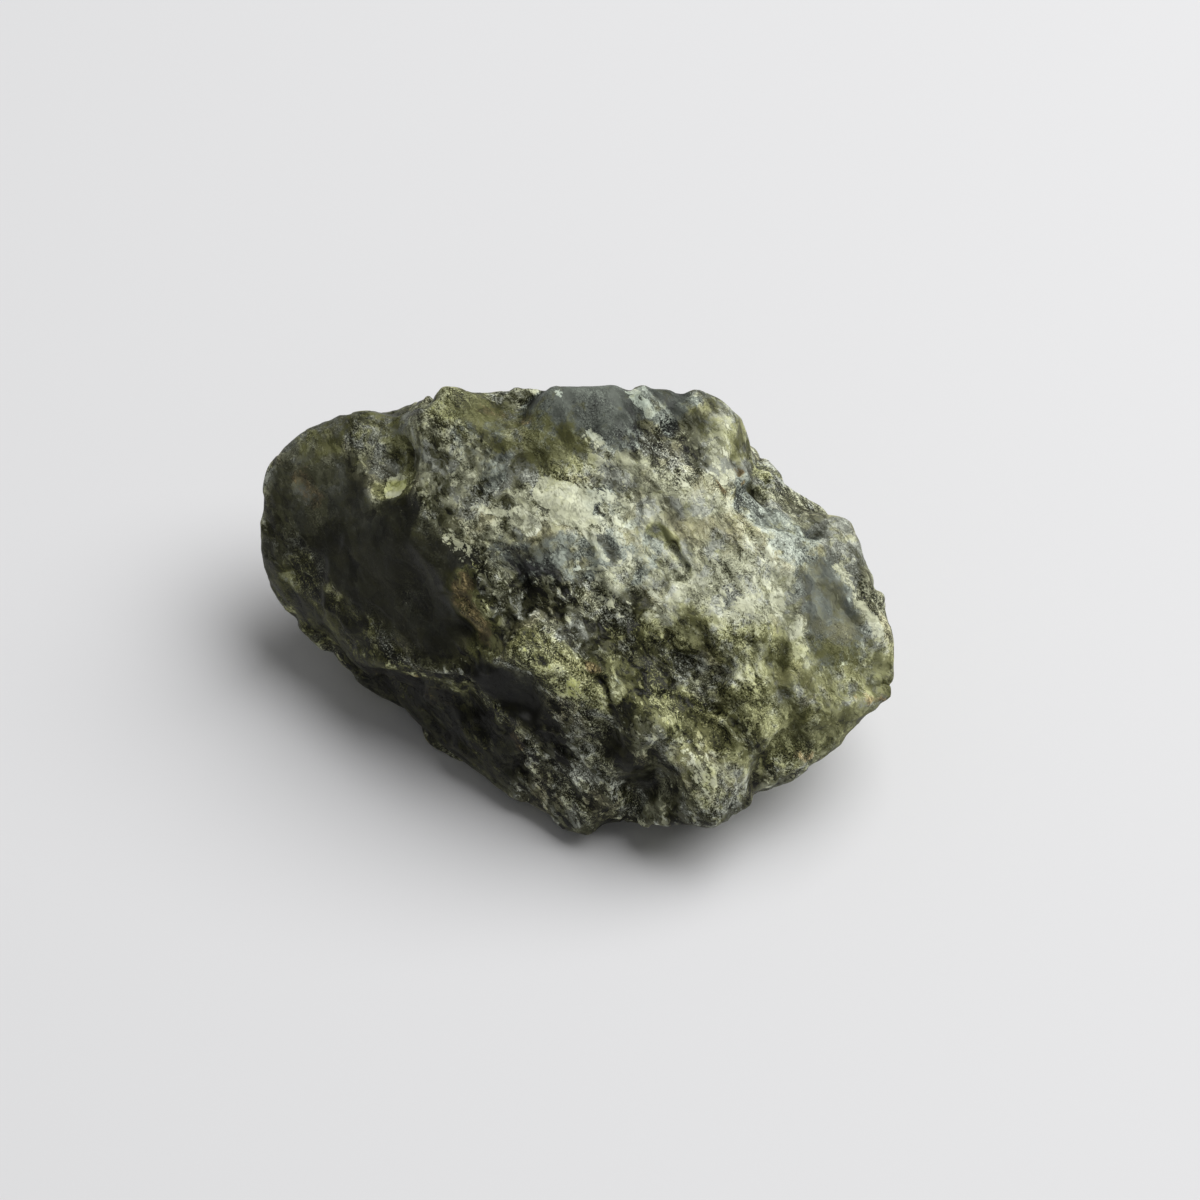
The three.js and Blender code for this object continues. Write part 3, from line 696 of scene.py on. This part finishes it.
# The broken surface at three sizes, all finer than the solid's chips
grainDirection = np.array((0.75, -0.52, -0.4)) / np.linalg.norm((0.75, -0.52, -0.4))
texture = {
    "stretch": 0.45,  # how much longer broken faces are along the grain
    "faceBend": {"size": 0.9, "reach": 0.25, "salts": (30, 31, 32)},
    "markBend": {"size": 0.7, "reach": 0.1, "salts": (33, 34, 35)},
    "facets": {"size": 1.7, "lean": 0.15, "step": 0.06, "edge": 20, "salt": 40},
    "flakes": {"size": 0.7, "lean": 0.22, "step": 0.045, "edge": 24, "salt": 60},
    "grit": {"size": 0.5, "salt": 80, "octaves": 2},
    "gritRise": 0.02,
    "pits": {"size": 1.0, "reach": (0.22, 0.5), "depth": 0.22, "share": 0.6, "salt": 90},
    "roughPits": 1.6,  # how much of it there is in the pitted places
    "roughHere": 0.5,  # and away from them
    "smoothLeft": 0.15,  # and what is left of that on smooth breaks
    "flakeEdge": 0.6,  # how much the edge of a flake counts beside that of a facet
    "flakeFacetShade": 0.7,  # how much of a broken face's painted shading comes from its flake's own number
}

# How the edges of tones and zones wander
wander = {
    "bend": 0.45,  # mm
    "crustBend": 0.15,
    # size, share of the bend, salts
    "swells": [
        (1.6, 1.0, (100, 101, 102)),
        (0.7, 0.6, (103, 104, 105)),
        (0.33, 0.35, (106, 107, 108)),
    ],
    "soft": 0.5,  # share of a reach over which a tone or zone fades out
}


def vertexNormals(points, sides):
    a, b, c = (points[sides[:, k]] for k in range(3))
    across = np.cross(b - a, c - a)
    normals = np.stack([
        sum(np.bincount(sides[:, k], across[:, axis], len(points)) for k in range(3))
        for axis in range(3)
    ], 1)
    return normals / np.linalg.norm(normals, axis=1, keepdims=True)


def evenedOut(values, sides, times):
    # each point takes the mean of its neighbours, over and over
    count = sum(np.bincount(sides[:, k], minlength=len(values)) for k in range(3)) * 2
    for _ in range(times):
        beside = [values[sides[:, k - 1]] + values[sides[:, k - 2]] for k in range(3)]
        values = np.stack([
            sum(np.bincount(sides[:, k], beside[k][:, axis], len(values)) for k in range(3)) / count
            for axis in range(values.shape[1])
        ], 1)
    return values


def wandering(points, bend):
    # places pushed about, for edges that wander
    moved = points.copy()
    for size, share, salts in wander["swells"]:
        moved += push(points, size, share * bend, salts)
    return moved


def within(points, start, end, reach):
    soft = wander["soft"]
    return 1 - rampUp((fromLine(points, start, end) / reach - (1 - soft)) / soft)


def zoneShare(points, zone):
    share = np.zeros(len(points))
    for start, end, reach, strength in zones[zone]:
        share = np.maximum(share, strength * within(points, start, end, reach))
    return share


def pitDrop(points, size, reach, depth, share, salt):
    # a bowl in some of the cells
    look = cellDraws(points, size, range(salt, salt + 5))
    cell = points / size
    base = np.floor(cell)
    deepest = np.zeros(len(points))
    for shift in itertools.product((-1, 0, 1), repeat=3):
        at = base + shift
        draws = look(at)
        away = np.linalg.norm(cell - at - draws[:, :3], axis=1) * size
        width = reach[0] + (reach[1] - reach[0]) * draws[:, 3]
        bowl = np.maximum(1 - (away / width) ** 2, 0) * width / reach[1]
        deepest = np.maximum(deepest, np.where(draws[:, 4] < share, bowl, 0))
    return -depth * deepest


def brokenSurface(points, sides):
    # the points moved to the broken surface, how near each one is to the edge of a broken face,
    # and a number of that face's own
    wandered = wandering(points, wander["bend"])
    pitted = zoneShare(wandered, "pitted")
    rough = texture["roughHere"] + (texture["roughPits"] - texture["roughHere"]) * pitted
    rough *= 1 - (1 - texture["smoothLeft"]) * zoneShare(wandered, "smooth")
    grown = (points @ grainDirection)[:, None] * grainDirection
    stretched = points - texture["stretch"] * grown
    stretched += push(points, **texture["faceBend"])
    outward = vertexNormals(points, sides)
    facets, edges, own = tiltedChips(stretched, **texture["facets"])
    risen = rough * facets
    moved = points + push(points, **texture["markBend"])
    for mark in marks:
        risen += strokeRise(moved, *mark)
    points = points + outward * risen[:, None]
    outward = vertexNormals(points, sides)
    flakes, flakeEdges, flakeOwn = tiltedChips(stretched, **texture["flakes"])
    risen = rough * (flakes + texture["gritRise"] * cloud(points, **texture["grit"]))
    risen += pitted * pitDrop(moved, **texture["pits"])
    points = points + outward * risen[:, None]
    # painted facet shading: each broken face gets its own number, which paints it lighter or darker as if
    # light fell on it at its own slant
    flakeFacetShade = texture["flakeFacetShade"]
    facetShades = (1 - flakeFacetShade) * own + flakeFacetShade * flakeOwn
    return points, np.maximum(edges, texture["flakeEdge"] * flakeEdges), facetShades


def fitted(points):
    # on its resting face, and with the same box as the solid
    low, high = (np.array(corner) / metresPerMm for corner in cadBox)
    points[:, 2] = np.maximum(points[:, 2], 0)
    for axis in (0, 1):
        span = points[:, axis].max() - points[:, axis].min()
        scale = (high[axis] - low[axis]) / span
        points[:, axis] = (points[:, axis] - points[:, axis].min()) * scale + low[axis]
    points[:, 2] *= high[2] / points[:, 2].max()
    return points


points, edges, facetShades = brokenSurface(points, sides)
points = fitted(points)
print("broken surface made")


skinGround = {
    "tone": 0.36,  # where nothing else is laid over it
    "mottle": 0.45,
    # height above the skin evened out: rounds of evening, and the mm that count as 1
    "fine": (5, 0.03),
    "broad": (30, 0.2),  # these rounds come on top of the fine ones
    "heightShare": 0.6,  # how much each of the two heights counts
}


def surfaceShares(points, sides):
    # what the material needs to know at each point
    outward = vertexNormals(points, sides)
    even = points
    height = np.zeros(len(points))
    for rounds, full in (skinGround["fine"], skinGround["broad"]):
        even = evenedOut(even, sides, rounds)
        height += skinGround["heightShare"] * ((points - even) * outward).sum(1) / full
    wandered = wandering(points, wander["bend"])
    shares = {zone: zoneShare(wandered, zone) for zone in ("smooth", "olive", "rust", "blue")}
    steadier = wandering(points, wander["crustBend"])
    shares["pale"] = zoneShare(steadier, "pale") * (1 - zoneShare(steadier, "bare"))
    shares["height"] = np.clip(height, -1, 1)
    tone = np.full(len(points), skinGround["tone"])
    mottle = np.full(len(points), skinGround["mottle"])
    for start, end, reach, toneHere, mottleHere in tones:
        share = within(wandered, start, end, reach)
        tone += share * (toneHere - tone)
        mottle += share * (mottleHere - mottle)
    return {**shares, "tone": tone, "mottle": mottle}


mesh = bpy.data.meshes.new("sapphire_stone")
mesh.from_pydata((points * metresPerMm).tolist(), [], sides.tolist())
mesh.update()
mesh.shade_smooth()
shares = {"edge": edges, "plate": facetShades, **surfaceShares(points, sides)}
for name, values in shares.items():
    mesh.attributes.new(name, "FLOAT", "POINT").data.foreach_set("value", values)
stone = bpy.data.objects.new("sapphire_stone", mesh)
bpy.context.scene.collection.objects.link(stone)
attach(stone, "root")
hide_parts("rough_sapphire")
print("stone placed")


class Link:
    # one output of a shader node: sums written with it add their Math nodes
    def __init__(self, tree, socket):
        self.tree = tree
        self.socket = socket

    def node(self, kind, settings, inputs, output=0):
        made = self.tree.nodes.new(kind)
        for name, value in settings.items():
            setattr(made, name, value)
        for name, value in inputs.items():
            if isinstance(value, Link):
                self.tree.links.new(value.socket, made.inputs[name])
            else:
                made.inputs[name].default_value = value
        return Link(self.tree, made.outputs[output])

    def math(self, operation, other, reflected=False):
        first, second = (other, self) if reflected else (self, other)
        return self.node("ShaderNodeMath", {"operation": operation}, {0: first, 1: second})

    def __add__(self, other):
        return self.math("ADD", other)

    def __radd__(self, other):
        return self.math("ADD", other, True)

    def __sub__(self, other):
        return self.math("SUBTRACT", other)

    def __rsub__(self, other):
        return self.math("SUBTRACT", other, True)

    def __mul__(self, other):
        return self.math("MULTIPLY", other)

    def __rmul__(self, other):
        return self.math("MULTIPLY", other, True)


def mask(value, low, high):
    # 0 on low's side, 1 on high's side, with a soft turn between
    settings = {"interpolation_type": "SMOOTHSTEP"}
    return value.node("ShaderNodeMapRange", settings, {"Value": value, "From Min": low, "From Max": high})


def mixed(share, first, second):
    settings = {"data_type": "RGBA"}
    colours = {6: first, 7: second}
    for index, colour in colours.items():
        if not isinstance(colour, Link):
            colours[index] = (*colour, 1.0)
    return share.node("ShaderNodeMix", settings, {0: share, **colours}, 2)


def shaded(colour, share):
    # a colour made darker or lighter by a value
    grey = share.node("ShaderNodeCombineColor", {}, {0: share, 1: share, 2: share})
    settings = {"data_type": "RGBA", "blend_type": "MULTIPLY"}
    return share.node("ShaderNodeMix", settings, {0: 1.0, 6: colour, 7: grey}, 2)


def vectorMath(operation, first, second, scale=1.0):
    settings = {"operation": operation}
    return first.node("ShaderNodeVectorMath", settings, {0: first, 1: second, 3: scale})


def noise(place, size, detail, rough, output=0):
    inputs = {"Vector": place, "Scale": 1 / size, "Detail": detail, "Roughness": rough}
    return place.node("ShaderNodeTexNoise", {}, inputs, output)


def attribute(start, name):
    return start.node("ShaderNodeAttribute", {"attribute_name": name}, {}, 2)


corundum = {
    "warp": 0.42,  # mm that the patterns are pushed about
    "warpNoise": (1.6, 3, 0.6),  # size in mm, detail, roughness
    "grainLength": 1.9,
    # each on still, pushed or grained places, moved aside by so much; size in mm, detail, roughness
    "noises": {
        "broad": ("pushed", (0, 0, 0), 2.6, 4, 0.55),
        "tint": ("pushed", (5.2, 1.3, 9.4), 1.7, 4, 0.55),
        "hues": ("pushed", (5.2, 1.3, 9.4), 0.6, 4, 0.65),
        "specks": ("pushed", (5.2, 1.3, 9.4), 0.078, 2, 0.5),
        "islands": ("grained", (0, 0, 0), 0.4, 5, 0.78),
        "hollows": ("grained", (13.1, 7.7, 3.9), 0.36, 5, 0.78),
        "crowds": ("grained", (2.7, 8.3, 6.1), 2.4, 4, 0.6),
        "grit": ("still", (0, 0, 0), 0.16, 3, 0.6),
    },
    "cells": {"cells": 0.9, "fineCells": 0.3},  # mm
    "lift": 1.07,  # how much lighter the whole skin is than its tones
    # how strongly the patterns change that lightness
    "cellTone": 0.5,
    "broadTone": 0.32,
    # painted facet shading: how much lighter or darker each broken face is painted
    "facetShadeTone": 0.42,
    "flakeTone": 0.66,
    "fineCellTone": 0.62,
    # painted shade: how much darker the small hollows are painted
    "hollowShadeTone": 0.36,
    "gritTone": 0.2,
    "speckTone": 0.9,
    "lineTone": 0.5,
    "crustTone": 0.84,  # how light the crust is
    "palest": 0.8,  # above this the skin outside the crust lightens less
    "darkest": 0.09,
    "contrast": 2.2,  # power that turns lightness into light sent back
    # tints, which the lightness then darkens
    "tints": {
        "deep": (0.99, 1.0, 0.37),
        "plain": (0.975, 1.0, 0.67),
        "grey": (0.955, 1.0, 0.83),
        "olive": (0.985, 1.0, 0.36),
        "brown": (1.08, 0.98, 0.52),
        "blue": (0.9, 1.0, 0.84),
        "rust": (1.2, 0.9, 0.42),
        "cream": (0.975, 1.0, 0.68),
        "lichen": (0.93, 1.0, 0.38),
        "mint": (0.88, 1.0, 0.83),
        "chalk": (0.97, 1.0, 0.86),
    },
    "roughness": (0.4, 0.36),  # of dark skin, and how much more pale skin has
    "bump": 0.00009,  # metres
    "ior": 1.5,
    "gloss": 0.2,
}


def skinPatterns(start):
    # all that varies over the skin, by name: the mesh's shares, and patterns round 0
    metres = start.node("ShaderNodeTexCoord", {}, {}, 3)
    place = vectorMath("SCALE", metres, (0, 0, 0), 1 / metresPerMm)
    # pushed about so that no pattern looks even, and drawn out along the grain
    shift = vectorMath("SUBTRACT", noise(place, *corundum["warpNoise"], 1), (0.5, 0.5, 0.5))
    pushed = vectorMath("ADD", place, vectorMath("SCALE", shift, (0, 0, 0), 2 * corundum["warp"]))
    turned = Vector(grainDirection).to_track_quat("X", "Z").to_euler()
    grained = start.node(
        "ShaderNodeMapping",
        {"vector_type": "TEXTURE"},
        {"Vector": pushed, "Rotation": turned, "Scale": (corundum["grainLength"], 1, 1)},
    )
    places = {"still": place, "pushed": pushed, "grained": grained}
    skin = {name: attribute(start, name) for name in shares}
    for name, (where, aside, size, detail, rough) in corundum["noises"].items():
        skin[name] = noise(vectorMath("ADD", places[where], aside), size, detail, rough) - 0.5
    for name, size in corundum["cells"].items():
        cell = start.node("ShaderNodeTexVoronoi", {}, {"Vector": grained, "Scale": 1 / size}, 1)
        skin[name] = cell - 0.5  # the grey of the cell's random colour
    return SimpleNamespace(**skin)


def addFlakes(skin):
    # where specks crowd, and where pale flakes, painted shade in small hollows, light lines and the crust
    # lie
    skin.cover = 0.68 * skin.tone  # flakes cover more of the skin where it is lighter
    crowds = skin.crowds
    height = skin.height
    skin.crowded = mask(crowds + 0.35 * skin.hues + 0.2 * skin.tone, 0.0, 0.2)
    flaky = skin.islands + 0.42 * crowds + 0.02 * height + 0.2 * (skin.cover - 0.5)
    skin.flakes = mask(flaky, -0.006, 0.018)
    # painted shade in small hollows, more of it where the relief is lower
    skin.dark = mask(skin.hollows - 0.3 * crowds - 0.03 * height, 0.05, 0.09)
    # light lines along the edges and crests of broken faces: pale worn edges with painted highlight
    skin.lines = mask(skin.edge + 2.5 * skin.hollows + 0.2 * height, 0.88, 1.0)
    skin.lines *= mask(skin.tint + skin.broad, -0.02, 0.06)
    skin.crusted = mask(skin.pale + 1.5 * crowds + 2.6 * skin.islands, 0.5, 0.6)


def bareLightness(skin):
    # how light the skin is where no crust lies on it
    values = corundum
    tone = skin.tone
    mottle = skin.mottle
    uneven = values["cellTone"] * skin.cells + values["broadTone"] * skin.broad
    # painted facet shading: each broken face lighter or darker by its own number
    uneven += (0.1 + values["facetShadeTone"] * mottle) * skin.plate
    # painted shade in small hollows darkens the bare skin
    flaked = values["flakeTone"] * (skin.flakes - skin.cover) - values["hollowShadeTone"] * skin.dark
    flaked += values["fineCellTone"] * skin.fineCells + 0.2 * skin.plate + 0.06
    lightness = values["lift"] * tone * (1 + (1.1 - 0.55 * tone) * uneven)
    lightness += mottle * flaked
    # painted light and shade: lighter where the relief rises and darker in its hollows
    lightness *= 1 + (0.04 + 0.4 * mottle * mottle) * skin.height
    lightness += (0.04 + values["gritTone"] * mottle) * skin.grit
    speckled = (0.04 + values["speckTone"] * mottle) * (0.1 + 0.9 * skin.crowded)
    lightness += speckled * (mask(skin.specks, 0.06, 0.14) - mask(0 - skin.specks, 0.06, 0.14))
    # pale worn edges with painted highlight along the crests of broken faces
    lightness += values["lineTone"] * (1 - 0.6 * skin.smooth) * mottle * skin.lines
    return lightness - 0.6 * (lightness - values["palest"]).math("MAXIMUM", 0.0)


def crustLightness(skin):
    grain = 1 + 0.2 * skin.cells + 0.25 * skin.broad + 0.18 * skin.fineCells
    # painted shade in small hollows of the crust
    grain -= 0.3 * (1 - skin.smooth) * skin.dark
    grain += 0.2 * (1 - 0.7 * skin.smooth) * (skin.grit + skin.specks)
    return corundum["crustTone"] * (0.85 + 0.3 * skin.tone) * grain


def skinTint(skin, lightness):
    # the skin's tint, from the ground through stains and crust to chalky highlights
    tints = SimpleNamespace(**corundum["tints"])
    rough = 1 - 0.6 * skin.smooth
    colour = mixed(mask(skin.tint + 0.5 * skin.hues, -0.01, 0.07), tints.plain, tints.grey)
    colour = mixed(mask(lightness, 0.5, 0.14) * rough, colour, tints.deep)
    brownish = 0.5 * mask(skin.broad - 0.5 * skin.tint, 0.02, 0.2) * rough
    colour = mixed(brownish, colour, tints.brown)
    bluish = mask(skin.blue + 1.6 * skin.tint + 1.6 * skin.hues, 0.25, 0.8)
    colour = mixed(bluish, colour, tints.blue)
    crust = mixed(mask(skin.broad + 0.5 * skin.blue, 0.15, 0.5), tints.cream, tints.mint)
    crust = mixed(mask(skin.olive, 0.8, 1.2), crust, tints.lichen)
    colour = mixed(skin.crusted, colour, crust)
    greener = mask(skin.olive - 0.9 * skin.tint - 2.6 * skin.hues, 0.1, 0.9)
    greener *= 1 - 0.45 * mask(lightness, 0.3, 0.6)
    colour = mixed(greener, colour, tints.olive)
    rusty = 0.8 * mask(skin.rust + 2 * skin.islands + skin.hollows, 0.3, 0.9)
    colour = mixed(rusty, colour, tints.rust)
    return mixed(0.45 * mask(lightness, 0.7, 1.0), colour, tints.chalk)


def skinRelief(skin):
    # the finest relief, for the bump
    flaked = skin.mottle * (skin.flakes - skin.dark + 0.5 * skin.fineCells)
    return flaked + 0.16 * (1 - skin.smooth) * skin.grit + 0.3 * skin.crusted


def makeCorundum():
    material = bpy.data.materials.new("corundum")
    material.use_nodes = True
    tree = material.node_tree
    shader = tree.nodes["Principled BSDF"]
    skin = skinPatterns(Link(tree, None))
    addFlakes(skin)
    lightness = bareLightness(skin) * (1 - skin.crusted) + crustLightness(skin) * skin.crusted
    lightness = lightness.math("MAXIMUM", corundum["darkest"])
    colour = shaded(skinTint(skin, lightness), lightness.math("POWER", corundum["contrast"]))
    darkRoughness, paleRoughness = corundum["roughness"]
    roughness = darkRoughness + paleRoughness * mask(lightness, 0.2, 0.6)
    relief = {"Distance": corundum["bump"], "Height": skinRelief(skin)}
    bump = lightness.node("ShaderNodeBump", {}, relief)
    tree.links.new(colour.socket, shader.inputs["Base Color"])
    tree.links.new(roughness.socket, shader.inputs["Roughness"])
    tree.links.new(bump.socket, shader.inputs["Normal"])
    shader.inputs["IOR"].default_value = corundum["ior"]
    shader.inputs["Specular IOR Level"].default_value = corundum["gloss"]
    return material


mesh.materials.append(makeCorundum())
print("material made")


studio = {
    "floorHalf": 2.0,  # metres
    "floorColour": (0.8, 0.8, 0.81),
    "floorRoughness": 0.9,
    "keyDirection": (0.5, 0.4, 1.05),
    "keyDistance": 0.6,  # metres
    "keySize": 0.7,
    "keyPower": 4.4,  # watts
    "surround": 0.18,
}


def makeFloor():
    mesh = bpy.data.meshes.new("floor")
    half = studio["floorHalf"]
    corners = [(-half, -half, 0), (half, -half, 0), (half, half, 0), (-half, half, 0)]
    mesh.from_pydata(corners, [], [(0, 1, 2, 3)])
    floor = bpy.data.objects.new("floor", mesh)
    bpy.context.scene.collection.objects.link(floor)
    material = bpy.data.materials.new("floor")
    material.use_nodes = True
    shader = material.node_tree.nodes["Principled BSDF"]
    shader.inputs["Base Color"].default_value = (*studio["floorColour"], 1)
    shader.inputs["Roughness"].default_value = studio["floorRoughness"]
    mesh.materials.append(material)


def makeLight():
    world = bpy.data.worlds.new("studio")
    world.use_nodes = True
    background = world.node_tree.nodes["Background"]
    background.inputs["Color"].default_value = (1, 1, 1, 1)
    background.inputs["Strength"].default_value = studio["surround"]
    bpy.context.scene.world = world
    lamp = bpy.data.lights.new("key", "AREA")
    lamp.shape = "DISK"
    lamp.size = studio["keySize"]
    lamp.energy = studio["keyPower"]
    key = bpy.data.objects.new("key", lamp)
    toward = Vector(studio["keyDirection"]).normalized()
    key.location = toward * studio["keyDistance"]
    key.rotation_euler = toward.to_track_quat("Z", "Y").to_euler()
    bpy.context.scene.collection.objects.link(key)


makeFloor()
makeLight()
bpy.context.scene.view_settings.view_transform = "Standard"
print("studio ready")
